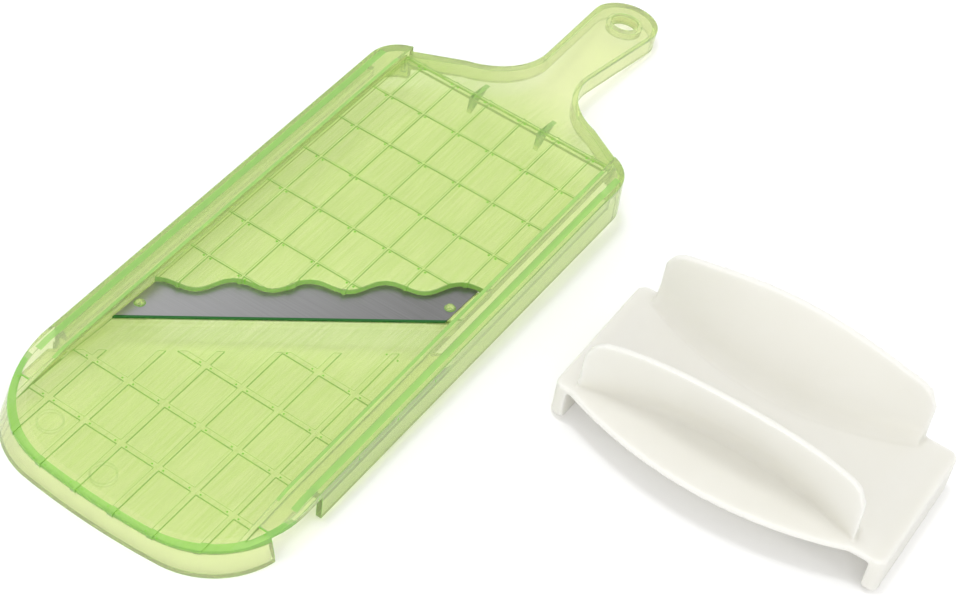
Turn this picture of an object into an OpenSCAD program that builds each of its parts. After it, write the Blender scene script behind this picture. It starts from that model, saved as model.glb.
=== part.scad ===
// Mandoline slicer with its separate food holder.
// The slicer stands on the near end of its skirt and on the tip of its handle, so its deck
// is drawn level and then leaned back by lean_deg. The holder stands beside it on its lips.

/* [Slicer body] */
// Width across the tops of the side rails
body_w = 117.4; // [105:0.2:130]
// Distance from the first cross rib to the near end, at the top of the rails
body_len = 245.8; // [230:0.1:270]
// How far the foot of the skirt stands out at the near end
flare_end = 3.9; // [0:0.1:6]
// How far the foot of the skirt stands out at the sides
flare_side = 0.2; // [0:0.1:2]
// Width of the bead inside the top of the skirt
bead_w = 3; // [1:0.1:4]
// Height of the bead inside the top of the skirt
bead_h = 4.5; // [2:0.1:6]
// How far the rails run past the first cross rib
rail_over = 4.5; // [2:0.5:8]
// Height of the side rails above the deck
rail_h = 3.2; // [2:0.1:5]
// Thickness of a side rail's inner wall
rail_t = 1.8; // [1.4:0.1:2.4]
// Distance from the near end at which a side rail begins to rise
run_out = 15; // [10:1:24]
// Length over which a side rail rises to its full height
rail_ramp = 26; // [15:1:40]
// Width of a side rail
rail_w = 10.7; // [8:0.1:13]
// Thickness of the skirt
skirt_t = 2.2; // [1.8:0.1:3]
// Depth of the skirt below the deck at the near end
skirt_near = 10.8; // [9:0.1:14]
// Depth of the skirt below the deck at the handle end
skirt_far = 13.7; // [10:0.1:16]
// Depth of the wall under the end of the far deck
end_wall_h = 4; // [3:0.5:10]
// Thickness of the deck panels
deck_t = 2.6; // [2:0.1:3.2]
// How far the near deck lies below the far deck
near_drop = 0.8; // [0.4:0.1:1.4]
// Radius of the near corners at the top of the rails
near_r = 40; // [30:0.5:42]
// Radius of the near corners at the foot of the skirt
foot_r = 32; // [20:0.5:38]
// Radius of the crowned near end
crown_r = 290; // [200:10:500]
// Radius of the far corners
far_r = 15; // [8:0.5:18]

/* [Ribs] */
// Spacing of the long ribs
rib_px = 16; // [14:0.5:17]
// Spacing of the cross ribs
rib_py = 22.6; // [20:0.1:24]
// Width of a far deck rib
rib_w_far = 0.8; // [0.6:0.1:1.5]
// Width of a near deck rib
rib_w_near = 2.2; // [1:0.1:3]
// Height of a rib above its panel
rib_h = 0.45; // [0.3:0.05:0.8]
// Place of the first near deck cross rib
near_row_y = -154.5; // [-160:0.5:-150]

/* [Cutting line] */
// Angle of the blade across the deck
cut_deg = 38.8; // [30:0.1:45]
// Distance of the wavy deck edge from the first rib's middle
wave_d = 94.4; // [90:0.1:98]
// Height of a wave from its mean line
wave_a = 2.6; // [1:0.1:4]
// Length of one wave
wave_len = 27.6; // [20:0.1:35]
// Place of a wave crest along the cutting line
wave_t0 = -79.6; // [-90:0.1:-65]
// Distance of the cutting edge
edge_d = 110.6; // [107:0.1:112]
// How far the ramp reaches under the cutting edge
ramp_under = 1; // [0:0.1:1.2]
// Distance at which the ramp begins
ramp_d = 126.5; // [120:0.5:130]
// How far the ramp falls below the near deck
ramp_fall = 1.7; // [1.4:0.1:3]

/* [Blade] */
// Width of the blade from edge to the furthest part of its back
blade_w = 19.6; // [19.4:0.1:22]
// How far the blade's back reaches under the wavy deck edge
blade_under = 1.4; // [0.8:0.1:2.4]
// Thickness of the blade
blade_t = 0.7; // [0.5:0.05:1]
// Angle by which the back of the blade lies lower
blade_deg = 4.7; // [3:0.1:7]
// Half the length of the blade, across the deck
blade_x = 46.2; // [40:0.1:46.5]
// How far the blade's middle lies to the left of the deck's
blade_left = 1.5; // [0:0.1:1.6]
// Width of the ground bevel
bevel_w = 1.6; // [1:0.1:3]
// Half the distance between the pins, across the deck
pin_x = 43.4; // [38:0.1:44]
// Distance of the pins from the cutting edge
pin_in = 7.4; // [6:0.1:9]
// Radius of a pin's shank
pin_r = 1.6; // [1.2:0.1:2]
// Radius of a pin's head
head_r = 2.2; // [1.8:0.1:2.6]

/* [Handle] */
// Slope of the handle below the deck
handle_deg = 8.2; // [4:0.1:12]
// Step from the deck down to the shoulder
shoulder_step = 0.9; // [0.4:0.1:2]
// Half width of the shoulder
shoulder_x = 50; // [46:0.5:51]
// Place of the neck along the handle
neck_y = 46.5; // [40:0.5:50]
// Half width of the neck
neck_x = 10.8; // [9:0.1:14]
// Radius of the rounded end
tip_r = 14.2; // [11:0.1:16]
// Centre of the rounded end
tip_y = 94.4; // [80:0.1:105]
// Radius of the fillet from shoulder to neck
fillet_r = 30.3; // [20:0.1:34]
// Depth of the handle's side walls
handle_h = 8; // [6:0.1:10]
// Thickness of the handle's top and walls
handle_t = 2; // [1.6:0.1:2.6]
// Radius of the hanging hole
hole_r = 5.9; // [4:0.1:7]
// Wall of the tube round the hanging hole
tube_t = 1.8; // [1.4:0.1:2.4]
// Depth of the tube round the hanging hole
tube_h = 5; // [3:0.1:6]
// Distance of each gusset under the shoulder from the middle
gusset_x = 16; // [8:0.5:24]
// Length of a gusset along the handle
gusset_l = 11; // [8:0.5:20]
// Thickness of a gusset
gusset_t = 2; // [1.4:0.1:3]

/* [Rim hook] */
// End of the notch that faces the near end
hook_y0 = -222; // [-226:1:-216]
// End of the notch that faces the handle
hook_y1 = -198; // [-204:1:-192]

/* [Holder] */
// Overall width across the lips
holder_w = 132; // [125:1:150]
// Length of the plate along the rails
holder_l = 64; // [55:0.5:80]
// Height of the plate's top above the foot of the lips
plate_z = 17; // [15:0.5:20]
// Radius of the plate's corners
plate_r = 4; // [1:0.5:8]
// Thickness of the plate
plate_t = 2.6; // [2:0.1:3.5]
// Thickness of a lip
lip_t = 5.6; // [2.5:0.1:6]
// Radius of the rounded corners at a lip's foot
foot_round = 4.5; // [1:0.5:6]
// Height of the grip walls at mid width
grip_z = 48.8; // [35:0.1:60]
// Half length of a grip wall
grip_x = 55.5; // [45:0.5:57]
// Distance between the rims of the two grip walls
grip_gap = 61; // [50:0.1:63]
// Distance between the feet of the two grip walls at mid width
grip_base = 30; // [26:1:34]
// How much further from the middle the foot of a grip wall lies at its ends
grip_bow = 15; // [6:0.5:15]
// Radius of the crowned rims
grip_r = 180; // [120:1:250]
// Radius of the rims' rounded ends
grip_end_r = 8; // [4:0.5:14]
// Size of the fillets at the foot of the grip walls
grip_fillet = 8; // [3:0.5:10]
// Thickness of the grip walls
grip_t = 2.6; // [2:0.1:3.2]
// How far the middle of the grip walls lies behind the middle of the plate
grip_shift = 1.5; // [0:0.1:1.5]
// How far the middle of the walls and guards lies to the left of the plate's
grip_left = 3; // [0:0.1:4]
// Half width of the finger guards
guard_x = 57; // [48:0.5:58]
// Reach of the front finger guard from the middle of the plate
guard_front = 43.5; // [37:0.5:46]
// Reach of the back finger guard from the middle of the plate
guard_back = 40; // [37:0.5:46]

/* [Placing] */
// Distance from the slicer's middle to the holder's middle
holder_dx = 156.4; // [140:0.5:200]
// Angle by which the holder is turned on the table
holder_turn = 1.6; // [0:0.1:4]
// Place of the holder's middle along the slicer
holder_dy = -71.9; // [-120:0.1:0]

/* [Hidden] */
$fn = 96;
e = 0.01;
half_w = body_w / 2;
// the cutting line's own directions: t runs along it, d away from the first rib
cut_t = [cos(cut_deg), sin(cut_deg)];
cut_n = [-sin(cut_deg), cos(cut_deg)];
// where shapes drawn on the cutting line begin and end
cut_from = -190;
cut_to = 70;
cut_run = cut_to - cut_from;
inner_x = half_w - rail_w;
deck_end_y = 1.2;
hook_top = 0;
fit = 0.15;
end_gap = 2;
guide_h = 2.4;
ledge_t = 3;
ramp_lip = 1.2;
near_z = -near_drop;
// the lowest point of the handle, in the level frame of the deck
tip_run = tip_y + tip_r;
tip_low = shoulder_step + tip_run * sin(handle_deg) + handle_h * cos(handle_deg);
rest_len = body_len + flare_end * level(-skirt_near);
lean_deg = asin((tip_low - skirt_near) / (rest_len + tip_run));
lean_z = tip_low - tip_run * sin(lean_deg);
// the whole assembly is centred on the origin
right_x = holder_dx + holder_w / 2 * cos(holder_turn) + holder_l / 2 * sin(holder_turn);
slicer_x = (half_w - right_x) / 2;
far_y = tip_run * cos(handle_deg) * cos(lean_deg) + tip_low * sin(lean_deg);
near_y = -rest_len * cos(lean_deg) + skirt_near * sin(lean_deg);
slicer_y = -(far_y + near_y) / 2;
green = [0.75, 0.87, 0.40, 0.6];
steel = [0.66, 0.67, 0.68];
milk = [0.93, 0.93, 0.88, 0.8];

// ---- placing -------------------------------------------------------------------

// Puts a shape drawn on the level deck where the leaning slicer has it
module seated() {
    translate([slicer_x, slicer_y, lean_z])
        rotate([lean_deg, 0, 0])
            children();
}

// Turns to the cutting line: +X along the blade, +Y towards the handle
module on_cut_line() {
    rotate([0, 0, cut_deg])
        children();
}

// Turns to the blade's plane, with its edge at y = 0 and its top face at z = 0
module on_blade_plane() {
    on_cut_line()
        translate([0, -edge_d, near_z])
            rotate([-blade_deg, 0, 0])
                children();
}

// ---- outlines ------------------------------------------------------------------

// Points on an arc
function arc(c, r, a0, a1, n) =
    [for (i = [0:n]) c + r * [cos(a0 + (a1 - a0) * i / n), sin(a0 + (a1 - a0) * i / n)]];

// Mirrors a run of points in the plane x = 0 and reverses its order
function flipped(pts) = [for (i = [len(pts) - 1:-1:0]) [-pts[i][0], pts[i][1]]];

// How far down a height lies: 0 at the top of the rails, 1 at the lowest foot of the skirt
function level(z) = (rail_h - z) / (rail_h + skirt_far);

// The right half of the body's outline at height z, d millimetres inside it
function body_half(d, z) =
    let (k = level(z),
         r = near_r + k * (foot_r - near_r),
         w = half_w + k * flare_side,
         cy = -body_len - k * flare_end + crown_r,
         kx = w - r,
         ky = cy - sqrt(pow(crown_r - r, 2) - kx * kx),
         ka = atan2(ky - cy, kx))
    concat(
        arc([0, cy], crown_r - d, -90, ka, 6),
        arc([kx, ky], r - d, ka, 0, 16),
        arc([w - far_r, rail_over - far_r], far_r - d, 0, 90, 10));

module body_outline(d, z) {
    half = body_half(d, z);
    polygon(concat(half, flipped(half)));
}

// The flared block between the top of the rails and the lowest foot, d millimetres inside
module body_block(d) {
    hull() {
        translate([0, 0, rail_h - e])
            linear_extrude(e)
                body_outline(d, rail_h);
        translate([0, 0, -skirt_far])
            linear_extrude(e)
                body_outline(d, -skirt_far);
    }
}

// The right half of the shoulder and handle outline, in the handle's own plane
function handle_half(d) =
    let (fx = neck_x + fillet_r,
         lean = atan2(tip_r - neck_x, tip_y - neck_y))
    concat(
        [[shoulder_x - d, -4]],
        [[shoulder_x - d, 6 - d]],
        arc([fx, neck_y], fillet_r + d, 250, 180 - lean, 18),
        arc([0, tip_y], tip_r - d, -lean, 90, 20));

module handle_outline(d) {
    half = handle_half(d);
    polygon(concat(half, flipped(half)));
}

// The far deck ends in a wave; this is everything on the handle's side of it, shifted by d
module wave_side(d) {
    on_cut_line()
        polygon(concat(
            [for (t = [cut_from:2.3:cut_to])
                [t, d - wave_d + wave_a * cos(360 * (t - wave_t0) / wave_len)]],
            [[cut_to, body_w], [cut_from, body_w]]));
}

// A half plane on the near side of the cutting line, d millimetres from the first rib
module near_side(d) {
    on_cut_line()
        translate([cut_from, -body_len - d])
            square([cut_run, body_len]);
}

// ---- slicer body ---------------------------------------------------------------

// The deck's ribs inside the rails
module ribs(w, rows) {
    for (i = [-2.5:1:2.5])
        translate([i * rib_px - w / 2, -body_len - flare_end])
            square([w, body_len + flare_end + deck_end_y]);
    for (y = rows)
        translate([-inner_x - 1, y - w / 2])
            square([2 * inner_x + 2, w]);
}

module far_deck() {
    rows = [for (j = [0:7]) -j * rib_py];
    translate([0, 0, -deck_t])
        linear_extrude(deck_t)
            intersection() {
                wave_side(0);
                translate([-inner_x - 1, -body_len])
                    square([2 * inner_x + 2, body_len + deck_end_y]);
            }
    translate([0, 0, -e])
        linear_extrude(rib_h + e)
            intersection() {
                wave_side(0);
                ribs(rib_w_far, rows);
            }
    // the long ribs turn down over the wavy edge
    translate([0, 0, -deck_t])
        linear_extrude(deck_t + rib_h)
            intersection() {
                difference() {
                    wave_side(-0.5);
                    wave_side(0.8);
                }
                ribs(rib_w_far + 0.6, []);
            }
}

module near_deck() {
    rows = [for (j = [0:3]) near_row_y - j * rib_py];
    translate([0, 0, near_z - deck_t])
        linear_extrude(deck_t)
            intersection() {
                near_side(ramp_d - e);
                body_outline(1, near_z);
            }
    translate([0, 0, near_z - e])
        linear_extrude(rib_h + e)
            intersection() {
                near_side(ramp_d);
                body_outline(0.4, near_z);
                ribs(rib_w_near, rows);
            }
    // the long ribs turn down over the near edge
    translate([0, 0, near_z - deck_t])
        linear_extrude(deck_t + rib_h)
            intersection() {
                difference() {
                    body_outline(-0.5, near_z);
                    body_outline(0.8, near_z);
                }
                ribs(rib_w_near, []);
                translate([-half_w, -body_len - flare_end])
                    square([body_w, 24]);
            }
}

// The smooth ramp between the near deck and the throat
module ramp() {
    run = ramp_d - edge_d + ramp_under;
    intersection() {
        on_cut_line()
            translate([cut_from, -ramp_d, near_z])
                rotate([90, 0, 90])
                    linear_extrude(cut_run)
                        polygon([[-1, 0], [0, 0], [run, -ramp_fall], [run, -ramp_fall - ramp_lip],
                                 [run - 3, -ramp_fall - deck_t], [-1, -deck_t]]);
        translate([-inner_x - 1, -body_len, -20])
            cube([2 * inner_x + 2, body_len, 20]);
    }
}

// A ledge at each end of the blade, which holds its pin
module ledges() {
    for (s = [-1, 1])
        intersection() {
            on_blade_plane()
                translate([cut_from, 1.5, -blade_t - ledge_t])
                    cube([cut_run, blade_w - 4.5, ledge_t - fit]);
            translate([s > 0 ? inner_x - 9 : -inner_x - 1, -body_len, -20])
                cube([10, body_len, 20]);
        }
}

// Rails: a flat-topped channel along each side
module rails() {
    for (s = [0, 1])
        mirror([s, 0, 0]) {
            translate([0, 0, rail_h - deck_t])
                linear_extrude(deck_t)
                    intersection() {
                        body_outline(0.5, rail_h);
                        translate([inner_x, -body_len])
                            square([rail_w, body_len + rail_over]);
                    }
            translate([inner_x, -body_len + run_out, near_z - deck_t])
                cube([rail_t, body_len - run_out + deck_end_y + 1, rail_h + deck_t - near_z]);
            translate([half_w - skirt_t - bead_w, hook_y1, rail_h - deck_t - bead_h])
                cube([bead_w + 0.5, -hook_y1 - far_r, bead_h + 0.5]);
        }
}

// The skirt: a wall round the sides and the near end
module skirt() {
    difference() {
        body_block(0);
        body_block(skirt_t);
        translate([0, 0, rail_h - 2 * e])
            linear_extrude(1)
                body_outline(skirt_t, rail_h);
        translate([-inner_x, 0, -skirt_far - 1])
            cube([2 * inner_x, far_r, skirt_far + rail_h + 2]);
    }
}

// Everything above the near end's top surface, where the rails run out
module rail_run_out() {
    translate([-body_w, -2 * body_len + run_out, near_z])
        cube([2 * body_w, body_len, 20]);
    translate([-body_w, -body_len + run_out, near_z])
        rotate([atan2(rail_h - near_z, rail_ramp), 0, 0])
            cube([2 * body_w, 2 * rail_ramp, 20]);
}

module handle_plate() {
    difference() {
        translate([0, 0, -handle_h])
            linear_extrude(handle_h)
                handle_outline(0);
        translate([0, 0, -handle_h - 1])
            linear_extrude(handle_h + 1 - handle_t)
                handle_outline(handle_t);
    }
}

module handle() {
    translate([0, 0, -shoulder_step])
        rotate([-handle_deg, 0, 0])
            difference() {
                union() {
                    handle_plate();
                    translate([0, tip_y, -tube_h])
                        cylinder(r = hole_r + tube_t, h = tube_h - e);
                    for (x = [-gusset_x, gusset_x])
                        translate([x - gusset_t / 2, 0, 0])
                            rotate([90, 0, 90])
                                linear_extrude(gusset_t)
                                    polygon([[0, -1], [gusset_l, -1], [0, -handle_h - 2]]);
                }
                translate([0, tip_y, -tube_h - 1])
                    cylinder(r = hole_r, h = tube_h + 2);
                translate([-body_w, -30, -30])
                    cube([2 * body_w, 30, 60]);
            }
}

// The end wall under the deck, between the rails
module end_wall() {
    translate([-inner_x - 1, deck_end_y - 2, -end_wall_h])
        cube([2 * inner_x + 2, 2, end_wall_h]);
}

module slicer_body() {
    color(green)
        seated()
            difference() {
                union() {
                    difference() {
                        union() {
                            skirt();
                            rails();
                        }
                        rail_run_out();
                    }
                    far_deck();
                    near_deck();
                    ramp();
                    ledges();
                    end_wall();
                    handle();
                }
                // the foot of the skirt slopes from the near end to the handle end
                translate([-body_w, -body_len, -skirt_near])
                    rotate([-atan2(skirt_far - skirt_near, body_len), 0, 0])
                        translate([0, -5, -20])
                            cube([2 * body_w, body_len + rail_over + 5.5, 20]);
                // the notches that hook on a bowl's rim
                for (s = [0, 1])
                    mirror([s, 0, 0])
                        translate([half_w - skirt_t - 2, hook_y0, -skirt_far - 5])
                            cube([skirt_t + 4, hook_y1 - hook_y0, skirt_far + 5 + hook_top]);
                // the blade's pocket and its pin holes
                blade_blank(fit);
                on_pins()
                    translate([0, 0, -4])
                        cylinder(r = pin_r, h = 8);
            }
}

// ---- blade ---------------------------------------------------------------------

// The blade's outline, grown by g on every side
module blade_blank(g) {
    difference() {
        intersection() {
            on_blade_plane()
                translate([cut_from, -g, -blade_t - g])
                    cube([cut_run, blade_w + 2 * g, blade_t + 2 * g]);
            translate([-blade_left - blade_x - g * end_gap, -body_len, -20])
                cube([2 * (blade_x + g * end_gap), body_len, 40]);
        }
        // its back follows the wavy deck edge
        translate([0, 0, -20])
            linear_extrude(40)
                wave_side(blade_under + g);
    }
}

// Puts a shape at each pin, standing on the blade's top face
module on_pins() {
    for (s = [-1, 1]) {
        along = (s * pin_x - blade_left + (edge_d - pin_in) * cut_n[0]) / cut_t[0];
        on_blade_plane()
            translate([along, pin_in, 0])
                children();
    }
}

module blade() {
    color(steel)
        seated()
            difference() {
                blade_blank(0);
                // the ground bevel along the cutting edge
                on_blade_plane()
                    rotate([atan2(blade_t - 0.08, bevel_w), 0, 0])
                        translate([cut_from, -5, -e])
                            cube([cut_run, 5 + bevel_w, 5]);
                on_pins()
                    translate([0, 0, -4])
                        cylinder(r = pin_r + fit, h = 8);
            }
}

module blade_pins() {
    color(green)
        seated()
            on_pins() {
                translate([0, 0, -3.5])
                    cylinder(r = pin_r - 0.05, h = 3.6);
                translate([0, 0, 0.05])
                    cylinder(r1 = head_r, r2 = head_r - 0.5, h = 0.6);
            }
}

// ---- holder --------------------------------------------------------------------

// Height of the grip wall's rim at x, with rounded ends
function rim_z(x) =
    let (r = grip_end_r,
         z = grip_z - grip_r + sqrt(grip_r * grip_r - x * x),
         over = max(0, abs(x) - grip_x + r))
    z - r + sqrt(max(0, r * r - over * over));

// How far the fillet at a grip wall's foot stands out at height z
function fillet(z) =
    0.55 * grip_fillet * pow(1 - min(1, max(0, z - plate_z) / grip_fillet), 2);

// Points of a grip wall: u runs from -1 to 1 along it and v from 0 at the foot to 1 at the rim;
// side is 1 for the outer face and 0 for the face towards the valley
function grip_point(u, v, side) =
    let (x = u * (grip_x - (1 - side) * grip_t * 0.3),
         foot = plate_z - plate_t / 2,
         z = foot + v * (rim_z(x) - foot),
         base = grip_base / 2 + grip_bow * u * u,
         face = base + (grip_gap / 2 - base) * (z - foot) / (grip_z - foot))
    [x, side == 1 ? face + fillet(z) * (1 - u * u) : face - grip_t - fillet(z), z];

module grip_wall() {
    nu = 36;
    nv = 12;
    m = nv + 1;
    k = (nu + 1) * m;
    pts = [for (side = [0, 1], i = [0:nu], j = [0:nv])
        grip_point(2 * i / nu - 1, pow(j / nv, 1.7), side)];
    skins = [for (i = [0:nu - 1], j = [0:nv - 1])
        let (a = i * m + j)
        each [[a, a + 1, a + m + 1], [a, a + m + 1, a + m],
              [k + a, k + a + m + 1, k + a + 1], [k + a, k + a + m, k + a + m + 1]]];
    rims = [for (i = [0:nu - 1])
        let (a = i * m)
        each [[a, a + m, k + a + m], [a, k + a + m, k + a],
              [a + nv, k + a + nv + m, a + nv + m], [a + nv, k + a + nv, k + a + nv + m]]];
    ends = [for (j = [0:nv - 1])
        let (a = j, b = nu * m + j)
        each [[a, k + a, k + a + 1], [a, k + a + 1, a + 1],
              [b, k + b + 1, k + b], [b, b + 1, k + b + 1]]];
    polyhedron(points = pts, faces = concat(skins, rims, ends), convexity = 6);
}

// A finger guard: the plate bulges out below a grip wall
module guard(reach) {
    edge = holder_l / 2 - 0.5;
    swell = reach - edge;
    r = (guard_x * guard_x + swell * swell) / (2 * swell);
    a = asin(guard_x / r);
    polygon(concat([[-guard_x, 0], [guard_x, 0]], arc([0, reach - r], r, 90 - a, 90 + a, 24)));
}

// The plate's outline with its rounded corners
module plate_outline() {
    x = holder_w / 2 - plate_r;
    y = holder_l / 2 - plate_r;
    polygon(concat(
        arc([x, y], plate_r, 0, 90, 8),
        arc([-x, y], plate_r, 90, 180, 8),
        arc([-x, -y], plate_r, 180, 270, 8),
        arc([x, -y], plate_r, 270, 360, 8)));
}

// A lip: it hangs outside a rail and has rounded ends
module lip() {
    translate([holder_w / 2 - lip_t, 0, 0])
        rotate([90, 0, 90])
            linear_extrude(lip_t)
                difference() {
                    translate([-holder_l / 2, 0])
                        square([holder_l, plate_z - e]);
                    for (m = [0, 1])
                        mirror([m, 0])
                            translate([holder_l / 2 - foot_round, 0])
                                difference() {
                                    translate([0, -1])
                                        square([foot_round + 1, foot_round + 1]);
                                    translate([0, foot_round])
                                        circle(r = foot_round);
                                }
                }
}

module holder_plate() {
    translate([0, 0, plate_z - plate_t])
        linear_extrude(plate_t) {
            plate_outline();
            translate([-grip_left, 0])
                guard(guard_back);
            translate([-grip_left, 0])
                mirror([0, 1])
                    guard(guard_front);
        }
    intersection() {
        for (s = [0, 1])
            mirror([s, 0, 0])
                lip();
        linear_extrude(plate_z)
            plate_outline();
    }
    // the inner guides that run inside the slicer's rails
    for (s = [-1, 1])
        translate([s * (inner_x - 1.5) - 1, -holder_l / 2, plate_z - plate_t - guide_h])
            cube([2, holder_l, guide_h + 0.5]);
}

module holder() {
    color(milk)
        translate([slicer_x + holder_dx, slicer_y + holder_dy, 0])
            rotate([0, 0, holder_turn]) {
                holder_plate();
                for (m = [0, 1])
                    translate([-grip_left, grip_shift, 0])
                        mirror([0, m, 0])
                            grip_wall();
            }
}

slicer_body();
blade();
blade_pins();
holder();
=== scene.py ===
import math
import bmesh
import bpy
from mathutils import Matrix, Vector


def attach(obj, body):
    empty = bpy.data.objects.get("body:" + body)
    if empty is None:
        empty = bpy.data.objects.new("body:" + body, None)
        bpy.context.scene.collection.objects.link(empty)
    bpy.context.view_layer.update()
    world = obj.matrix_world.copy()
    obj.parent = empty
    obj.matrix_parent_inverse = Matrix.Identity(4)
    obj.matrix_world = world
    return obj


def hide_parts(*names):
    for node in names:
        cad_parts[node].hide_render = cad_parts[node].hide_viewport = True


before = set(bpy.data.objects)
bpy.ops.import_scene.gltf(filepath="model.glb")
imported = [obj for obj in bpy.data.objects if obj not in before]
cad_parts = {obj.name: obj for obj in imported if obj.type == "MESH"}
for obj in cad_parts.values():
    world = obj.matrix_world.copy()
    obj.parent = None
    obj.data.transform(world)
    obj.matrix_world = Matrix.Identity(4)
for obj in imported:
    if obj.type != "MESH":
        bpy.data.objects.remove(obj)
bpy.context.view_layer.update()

SC = bpy.context.scene
MM = 0.001

# ---------------------------------------------------------------- where things are
# The level deck frame, in mm: x runs across from the slicer's middle, y = 0 is the first cross rib
# (the handle end has y above 0) and z = 0 is the deck's top. The slicer leans, so this frame is
# turned about X. A "run" is measured square to the blade, and falls towards the near end.
SLICER_X = -82.2839
SLICER_Y = 70.057
LEAN_Z = 20.2059
LEAN = math.radians(2.16458)
CUT = math.radians(38.8)
WAVE_RUN = -94.4
FAR_DECK_RUN = -96.0
BEVEL_RUN = -109.7
NEAR_DECK_RUN = -126.0
RIB_GAP_X = 16.0
RIB_GAP_Y = 22.6
NEAR_RIB_Y = -154.5
NEAR_SKIRT_Y = -205.0
INNER_WALL_X = 48.0
BEAD_X = 55.6
GUSSET_X = 16.0
EJECTOR_MARKS = ((-33.1, -229.5), (-4.5, -235.5))
# the near end's outline: one wide arc, and a smaller one at each corner
CROWN_Y = 44.2
CROWN_R = 290.0
CROWN_HALF_X = 20.0
CORNER_X = 18.7
CORNER_Y = -205.1
CORNER_R = 40.0

# metres, in the frame of the CAD
BLADE_LEFT = -0.125
BLADE_RIGHT = -0.045
EDGE_R = 0.00055
WELD = 2e-6
FLOOR_HALF = 3

CLEARNESS = 0.84
NOISE_LOW = 0.3
NOISE_HIGH = 0.7


# ---------------------------------------------------------------- shader nodes
def new_material(name):
    """An empty material with a Principled shader joined to its output."""
    m = bpy.data.materials.new(name)
    m.use_nodes = True
    nt = m.node_tree
    nt.nodes.clear()
    out = nt.nodes.new("ShaderNodeOutputMaterial")
    bs = nt.nodes.new("ShaderNodeBsdfPrincipled")
    nt.links.new(bs.outputs["BSDF"], out.inputs["Surface"])
    return m, nt, bs, out


def node(nt, kind, **values):
    """One shader node; in_x sets its input x, and any other name sets a property."""
    n = nt.nodes.new("ShaderNode" + kind)
    for k, v in values.items():
        if k.startswith("in_"):
            key = k[3:]
            n.inputs[int(key) if key.isdigit() else key.replace("_", " ")].default_value = v
        else:
            setattr(n, k, v)
    return n


def maths(nt, op, a, b=None, c=None):
    """One Math node; a, b and c are sockets or numbers."""
    n = node(nt, "Math", operation=op)
    for k, v in enumerate((a, b, c)):
        if v is None:
            continue
        if isinstance(v, (int, float)):
            n.inputs[k].default_value = v
        else:
            nt.links.new(v, n.inputs[k])
    return n.outputs["Value"]


def mapped(nt, value, from_low, from_high, to_low, to_high):
    """A value carried from one range to another."""
    n = node(nt, "MapRange", in_1=from_low, in_2=from_high, in_3=to_low, in_4=to_high)
    nt.links.new(value, n.inputs["Value"])
    return n.outputs["Result"]


def blend(nt, factor, first, second):
    """Two colours mixed by a factor; each colour is a socket or three numbers."""
    n = node(nt, "MixRGB")
    for key, colour in (("Color1", first), ("Color2", second)):
        if isinstance(colour, tuple):
            n.inputs[key].default_value = (*colour, 1)
        else:
            nt.links.new(colour, n.inputs[key])
    nt.links.new(factor, n.inputs["Fac"])
    return n.outputs["Color"]


def object_noise(nt, scale, detail, roughness, turn=0.0):
    """Noise in the object's own coordinates, stretched by the three scales."""
    tc = node(nt, "TexCoord")
    mp = node(nt, "Mapping")
    mp.inputs["Rotation"].default_value = (0, 0, turn)
    mp.inputs["Scale"].default_value = scale
    nt.links.new(tc.outputs["Object"], mp.inputs["Vector"])
    nz = node(nt, "TexNoise", in_Scale=1.0, in_Detail=detail, in_Roughness=roughness)
    nt.links.new(mp.outputs["Vector"], nz.inputs["Vector"])
    return nz.outputs["Fac"]


def pass_lamps(nt, bs, out, colour):
    """Shadow rays go through, tinted, so that what lies under or behind the plastic stays bright."""
    path = node(nt, "LightPath")
    clear = node(nt, "BsdfTransparent", in_Color=(*colour, 1))
    mix = node(nt, "MixShader")
    nt.links.new(path.outputs["Is Shadow Ray"], mix.inputs["Fac"])
    nt.links.new(bs.outputs["BSDF"], mix.inputs[1])
    nt.links.new(clear.outputs["BSDF"], mix.inputs[2])
    nt.links.new(mix.outputs["Shader"], out.inputs["Surface"])


# ---------------------------------------------------------------- masks, 1 where a mark or painted light lies
def above(nt, value, limit):
    return maths(nt, "GREATER_THAN", value, limit)


def below(nt, value, limit):
    return maths(nt, "LESS_THAN", value, limit)


def close_to(nt, value, middle, reach):
    return below(nt, maths(nt, "ABSOLUTE", maths(nt, "SUBTRACT", value, middle)), reach)


def product(nt, *masks):
    """Where all the masks meet; a number makes the result that much fainter."""
    total = masks[0]
    for mask in masks[1:]:
        total = maths(nt, "MULTIPLY", total, mask)
    return total


def strongest(nt, *masks):
    total = masks[0]
    for mask in masks[1:]:
        total = maths(nt, "MAXIMUM", total, mask)
    return total


def deck_coordinates(nt):
    """Millimetres in the level deck frame, from the object's own coordinates."""
    tc = node(nt, "TexCoord")
    mp = node(nt, "Mapping")
    mp.inputs["Scale"].default_value = (1 / MM, 1 / MM, 1 / MM)
    mp.inputs["Rotation"].default_value = (-LEAN, 0, 0)
    turn = Matrix.Rotation(-LEAN, 3, "X")
    mp.inputs["Location"].default_value = -(turn @ Vector((SLICER_X, SLICER_Y, LEAN_Z)))
    nt.links.new(tc.outputs["Object"], mp.inputs["Vector"])
    sp = node(nt, "SeparateXYZ")
    nt.links.new(mp.outputs["Vector"], sp.inputs["Vector"])
    return sp.outputs["X"], sp.outputs["Y"], sp.outputs["Z"]


def blade_run(nt, x, y):
    return maths(nt, "ADD", maths(nt, "MULTIPLY", x, -math.sin(CUT)), maths(nt, "MULTIPLY", y, math.cos(CUT)))


def distance(nt, x, y, cx, cy):
    dx = maths(nt, "SUBTRACT", x, cx)
    dy = maths(nt, "SUBTRACT", y, cy)
    return maths(nt, "SQRT", maths(nt, "ADD", maths(nt, "MULTIPLY", dx, dx), maths(nt, "MULTIPLY", dy, dy)))


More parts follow.
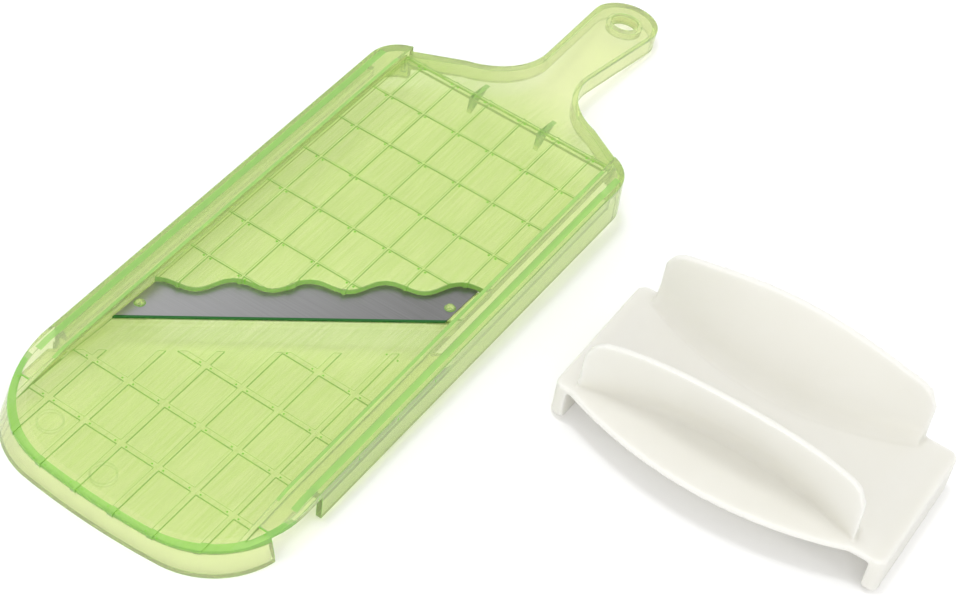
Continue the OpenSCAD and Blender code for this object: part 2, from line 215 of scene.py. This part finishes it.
def spots(nt, x, y, across, down, size):
    """Two small square spots beside each rib crossing, for painted light at the rib corners."""
    half_x = RIB_GAP_X / 2
    half_y = RIB_GAP_Y / 2
    wx = maths(nt, "WRAP", maths(nt, "SUBTRACT", x, half_x), half_x, -half_x)
    wy = maths(nt, "WRAP", y, half_y, -half_y)
    a = maths(nt, "ABSOLUTE", maths(nt, "SUBTRACT", maths(nt, "ABSOLUTE", wx), across))
    b = maths(nt, "ABSOLUTE", maths(nt, "ADD", wy, down))
    return below(nt, maths(nt, "MAXIMUM", a, b), size)


def edge_light(nt, geo):
    """Edges gather the light; flat faces give 0."""
    bev = node(nt, "Bevel", in_Radius=EDGE_R)
    bev.samples = 6
    dot = node(nt, "VectorMath", operation="DOT_PRODUCT")
    nt.links.new(bev.outputs["Normal"], dot.inputs[0])
    nt.links.new(geo.outputs["Normal"], dot.inputs[1])
    return mapped(nt, dot.outputs["Value"], 0.985, 0.78, 0.0, 0.95)


def past_near_outline(nt, x, y, ax):
    """How far a point lies outside the near end's outline; inside it is below 0."""
    crown = maths(nt, "SUBTRACT", distance(nt, x, y, 0.0, CROWN_Y), CROWN_R)
    corner = maths(nt, "SUBTRACT", distance(nt, ax, y, CORNER_X, CORNER_Y), CORNER_R)
    inner = below(nt, ax, CROWN_HALF_X)
    outer = maths(nt, "SUBTRACT", 1.0, inner)
    return maths(nt, "ADD", maths(nt, "MULTIPLY", crown, inner), maths(nt, "MULTIPLY", corner, outer))


def rib_corner_painted_light(nt, x, y, run, level):
    # painted light: deep green spots where light gathers at the rib corners, on the far and near decks
    far = product(nt, above(nt, run, FAR_DECK_RUN), spots(nt, x, y, 1.5, 1.1, 0.42))
    near_y = maths(nt, "SUBTRACT", y, NEAR_RIB_Y)
    near = product(nt, below(nt, run, NEAR_DECK_RUN), spots(nt, x, near_y, 2.4, 0.2, 0.34))
    return product(nt, strongest(nt, far, near), level)


def ejector_rings(nt, x, y):
    """Two faint round marks near the near end."""
    rings = [close_to(nt, distance(nt, x, y, cx, cy), 4.6, 0.35) for cx, cy in EJECTOR_MARKS]
    return product(nt, strongest(nt, *rings), 0.16)


def rail_painted_light(nt, ax, y, z):
    """Painted light: two deep green bands run along each rail, over the bead and over the inner wall, where
    light gathers in the thick plastic.
    """
    beads = close_to(nt, ax, BEAD_X, 1.3)
    walls = close_to(nt, ax, INNER_WALL_X + 0.8, 0.6)
    return product(nt, strongest(nt, beads, walls), above(nt, z, 2.4), below(nt, y, -6.0), 0.75)


def gusset_painted_light(nt, ax, y, z):
    # painted light: deep green on the gussets under the handle, where light gathers in them
    return product(nt, close_to(nt, ax, GUSSET_X, 1.05), below(nt, z, -3.6), close_to(nt, y, 6.0, 5.5), 0.8)


def wavy_wall_painted_light(nt, geo, run, ax):
    """The upright wall of the far deck's wavy edge, painted deep green where light gathers in it."""
    normal = node(nt, "SeparateXYZ")
    nt.links.new(geo.outputs["Normal"], normal.inputs["Vector"])
    upright = close_to(nt, normal.outputs["Z"], 0.0, 0.4)
    return product(nt, upright, close_to(nt, run, WAVE_RUN, 3.6), below(nt, ax, INNER_WALL_X - 0.1), 0.7)


def painted_pale_parts(nt, ax, y, z, out_by):
    """Painted light: the rails, the handle and the skirt of the near end are painted paler than the deck, for
    the brighter light that comes through them.
    """
    rail = product(nt, above(nt, ax, INNER_WALL_X), above(nt, z, -1.0), 0.8)
    skirt = product(nt, below(nt, y, NEAR_SKIRT_Y), below(nt, z, -2.2), above(nt, out_by, -5.0))
    handle = mapped(nt, y, 4.0, 30.0, 0.0, 1.0)
    return strongest(nt, skirt, rail, handle)


# ---------------------------------------------------------------- materials
def green_plastic():
    """Clear lime-green plastic, painted deeper green wherever the light gathers, and painted paler where more
    light comes through.
    """
    m, nt, bs, out = new_material("green_plastic")
    bs.inputs["Transmission Weight"].default_value = CLEARNESS
    bs.inputs["IOR"].default_value = 1.42
    bs.inputs["Specular IOR Level"].default_value = 0.5
    grain = object_noise(nt, (1100, 16, 1100), 3.0, 0.55)
    nt.links.new(mapped(nt, grain, NOISE_LOW, NOISE_HIGH, 0.06, 0.14), bs.inputs["Roughness"])
    tint = blend(nt, mapped(nt, grain, 0.35, 0.65, 0.0, 1.0), (0.71, 0.825, 0.42), (0.825, 0.885, 0.55))
    geo = node(nt, "NewGeometry")
    x, y, z = deck_coordinates(nt)
    ax = maths(nt, "ABSOLUTE", x)
    run = blade_run(nt, x, y)
    level = close_to(nt, z, 0.0, 1.6)
    out_by = past_near_outline(nt, x, y, ax)
    # painted light: a deep green band along the near rim, where light gathers in its end wall
    near_rim_painted_light = product(nt, above(nt, out_by, -1.7), below(nt, y, -212.0), level, 0.8)
    # painted light: deep green is painted on edges, rib corners, the near rim, rail bands, gussets and the wavy
    # wall, where light gathers in the clear plastic; the ejector marks are real
    painted_light_and_ejector_marks = strongest(
        nt, edge_light(nt, geo), rib_corner_painted_light(nt, x, y, run, level), ejector_rings(nt, x, y), near_rim_painted_light,
        rail_painted_light(nt, ax, y, z), gusset_painted_light(nt, ax, y, z), wavy_wall_painted_light(nt, geo, run, ax))
    # painted light: the rails, handle and near skirt get a paler tone for the light that comes through them
    pale = blend(nt, painted_pale_parts(nt, ax, y, z, out_by), tint, (0.90, 0.93, 0.66))
    # painted light: the places where light gathers are painted this deep green
    nt.links.new(blend(nt, painted_light_and_ejector_marks, pale, (0.20, 0.56, 0.05)), bs.inputs["Base Color"])
    # the places painted deep green are less clear as well
    nt.links.new(maths(nt, "MULTIPLY_ADD", painted_light_and_ejector_marks, -0.5, CLEARNESS), bs.inputs["Transmission Weight"])
    pass_lamps(nt, bs, out, (0.66, 0.61, 0.72))
    vol = node(nt, "VolumeAbsorption")
    vol.inputs["Color"].default_value = (0.62, 0.80, 0.05, 1)
    vol.inputs["Density"].default_value = 84.0
    nt.links.new(vol.outputs["Volume"], out.inputs["Volume"])
    return m


def milky_plastic():
    """Warm milky-white plastic that lets much of the light through, so its shadow is faint."""
    m, nt, bs, out = new_material("milky_plastic")
    cloud = object_noise(nt, (35, 35, 35), 2.0, 0.5)
    nt.links.new(blend(nt, cloud, (0.722, 0.712, 0.657), (0.75, 0.74, 0.69)), bs.inputs["Base Color"])
    bs.inputs["Subsurface Weight"].default_value = 1.0
    bs.inputs["Subsurface Radius"].default_value = (1.0, 1.0, 1.0)
    bs.inputs["Subsurface Scale"].default_value = 0.006
    bs.inputs["Transmission Weight"].default_value = 0.08
    bs.inputs["Roughness"].default_value = 0.42
    bs.inputs["IOR"].default_value = 1.4
    pass_lamps(nt, bs, out, (0.58, 0.57, 0.55))
    return m


def blade_steel():
    """Steel with a fine grain along the blade, and a painted reflection that makes it darker towards its right
    end.
    """
    m, nt, bs = new_material("blade_steel")[:3]
    grain = object_noise(nt, (30, 2500, 100), 4.0, 0.6, turn=-CUT)
    tc = node(nt, "TexCoord")
    sp = node(nt, "SeparateXYZ")
    nt.links.new(tc.outputs["Object"], sp.inputs["Vector"])
    # painted reflection: the steel is painted darker from the left end to the right end of the blade
    darker = mapped(nt, sp.outputs["X"], BLADE_LEFT, BLADE_RIGHT, 0.25, 0.75)
    fine = mapped(nt, grain, NOISE_LOW, NOISE_HIGH, -0.06, 0.06)
    steel = blend(nt, maths(nt, "ADD", darker, fine), (0.52, 0.52, 0.53), (0.16, 0.16, 0.155))
    # painted reflection and shade: the ground bevel is painted dark green for the green shell it reflects and
    # the shade under its edge
    x, y = deck_coordinates(nt)[:2]
    bevel = below(nt, blade_run(nt, x, y), BEVEL_RUN)
    nt.links.new(blend(nt, bevel, steel, (0.04, 0.17, 0.05)), bs.inputs["Base Color"])
    nt.links.new(mapped(nt, grain, NOISE_LOW, NOISE_HIGH, 0.28, 0.42), bs.inputs["Roughness"])
    bs.inputs["Metallic"].default_value = 1.0
    bump = node(nt, "Bump", in_Strength=0.04, in_Distance=0.0001)
    nt.links.new(grain, bump.inputs["Height"])
    nt.links.new(bump.outputs["Normal"], bs.inputs["Normal"])
    return m


GREEN = green_plastic()
MILK = milky_plastic()
STEEL = blade_steel()


def dress(ob, mat):
    ob.data.materials.clear()
    ob.data.materials.append(mat)


# ---------------------------------------------------------------- slicer and blade
dress(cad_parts["slicer_body"], GREEN)
dress(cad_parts["blade"], STEEL)
dress(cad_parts["blade_pins"], GREEN)
# the table under the blade stays as bright as the rest of it
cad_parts["blade"].visible_shadow = False
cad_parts["blade"].visible_diffuse = False


# ---------------------------------------------------------------- holder
def melted(src, name, voxel, rounds, keep):
    """A copy of a CAD node with every edge and inner corner rounded, as a soft moulding has them.

    The copy is rebuilt from cubes of the voxel size in metres, smoothed in so many rounds, and
    thinned out to the share of faces to keep.
    """
    me = src.data.copy()
    me.name = name
    ob = bpy.data.objects.new(name, me)
    SC.collection.objects.link(ob)
    bm = bmesh.new()
    bm.from_mesh(me)
    bmesh.ops.remove_doubles(bm, verts=bm.verts, dist=WELD)
    bmesh.ops.recalc_face_normals(bm, faces=bm.faces)
    bm.to_mesh(me)
    bm.free()
    cubes = ob.modifiers.new("cubes", "REMESH")
    cubes.mode = "VOXEL"
    cubes.voxel_size = voxel
    soft = ob.modifiers.new("soft", "SMOOTH")
    soft.factor = 0.5
    soft.iterations = rounds
    thin = ob.modifiers.new("thin", "DECIMATE")
    thin.ratio = keep
    ev = ob.evaluated_get(bpy.context.evaluated_depsgraph_get())
    done = bpy.data.meshes.new_from_object(ev)
    ob.modifiers.clear()
    ob.data = done
    done.polygons.foreach_set("use_smooth", [True] * len(done.polygons))
    return ob


grip = melted(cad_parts["holder"], "food_holder", voxel=0.00055, rounds=9, keep=0.35)
dress(grip, MILK)
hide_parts("holder")
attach(grip, "holder")


# ---------------------------------------------------------------- stage
def square_mesh(name, half):
    """A level square about the origin, at the table's height."""
    me = bpy.data.meshes.new(name)
    me.from_pydata([(-half, -half, 0), (half, -half, 0), (half, half, 0), (-half, half, 0)], [], [(0, 1, 2, 3)])
    me.update()
    return me


floor = bpy.data.objects.new("floor", square_mesh("floor", FLOOR_HALF))
SC.collection.objects.link(floor)
paper, _, paper_shader, _ = new_material("floor_paper")
paper_shader.inputs["Base Color"].default_value = (0.93, 0.93, 0.93, 1)
paper_shader.inputs["Roughness"].default_value = 0.9
paper_shader.inputs["Specular IOR Level"].default_value = 0.1
dress(floor, paper)

world = bpy.data.worlds.new("studio")
SC.world = world
world.use_nodes = True
world.node_tree.nodes["Background"].inputs["Color"].default_value = (1, 1, 1, 1)
world.node_tree.nodes["Background"].inputs["Strength"].default_value = 0.86


def sun(name, azimuth, elevation, strength, angle):
    """A sun lamp in the direction given in degrees, with azimuth 0 at +Y and 90 at +X."""
    lamp = bpy.data.lights.new(name, "SUN")
    lamp.energy = strength
    lamp.angle = math.radians(angle)
    o = bpy.data.objects.new(name, lamp)
    SC.collection.objects.link(o)
    a = math.radians(azimuth)
    e = math.radians(elevation)
    to_light = Vector((math.cos(e) * math.sin(a), math.cos(e) * math.cos(a), math.sin(e)))
    o.rotation_euler = to_light.to_track_quat("Z", "Y").to_euler()


sun("key", azimuth=255, elevation=79, strength=1.0, angle=12)
sun("fill", azimuth=155, elevation=24, strength=0.75, angle=60)

# ---------------------------------------------------------------- camera
# Its turn, and its place in mm from the slicer's first rib and the table, come from the deck's rib grid.
cam_data = bpy.data.cameras.new("camera")
cam = bpy.data.objects.new("camera", cam_data)
SC.collection.objects.link(cam)
cam_data.sensor_width = 36.0
cam_data.lens = 87.915
cam_data.clip_start = 0.01
right = Vector((0.820566, 0.556185, 0.131639)).normalized()
forward = Vector((-0.314413, 0.6316, -0.708679)).normalized()
right = (right - right.dot(forward) * forward).normalized()
up = right.cross(forward)
turn = Matrix((right, up, -forward)).transposed().to_4x4()
place = Vector((318.014 + SLICER_X, -629.374 + SLICER_Y, 623.2)) * MM
cam.matrix_world = Matrix.Translation(place) @ turn
SC.camera = cam

SC.view_settings.view_transform = "Standard"
SC.view_settings.look = "None"
# a ray crosses many layers of clear plastic
SC.cycles.max_bounces = 48
SC.cycles.transmission_bounces = 48
SC.cycles.glossy_bounces = 24
SC.cycles.transparent_max_bounces = 16
SC.cycles.sample_clamp_indirect = 8.0
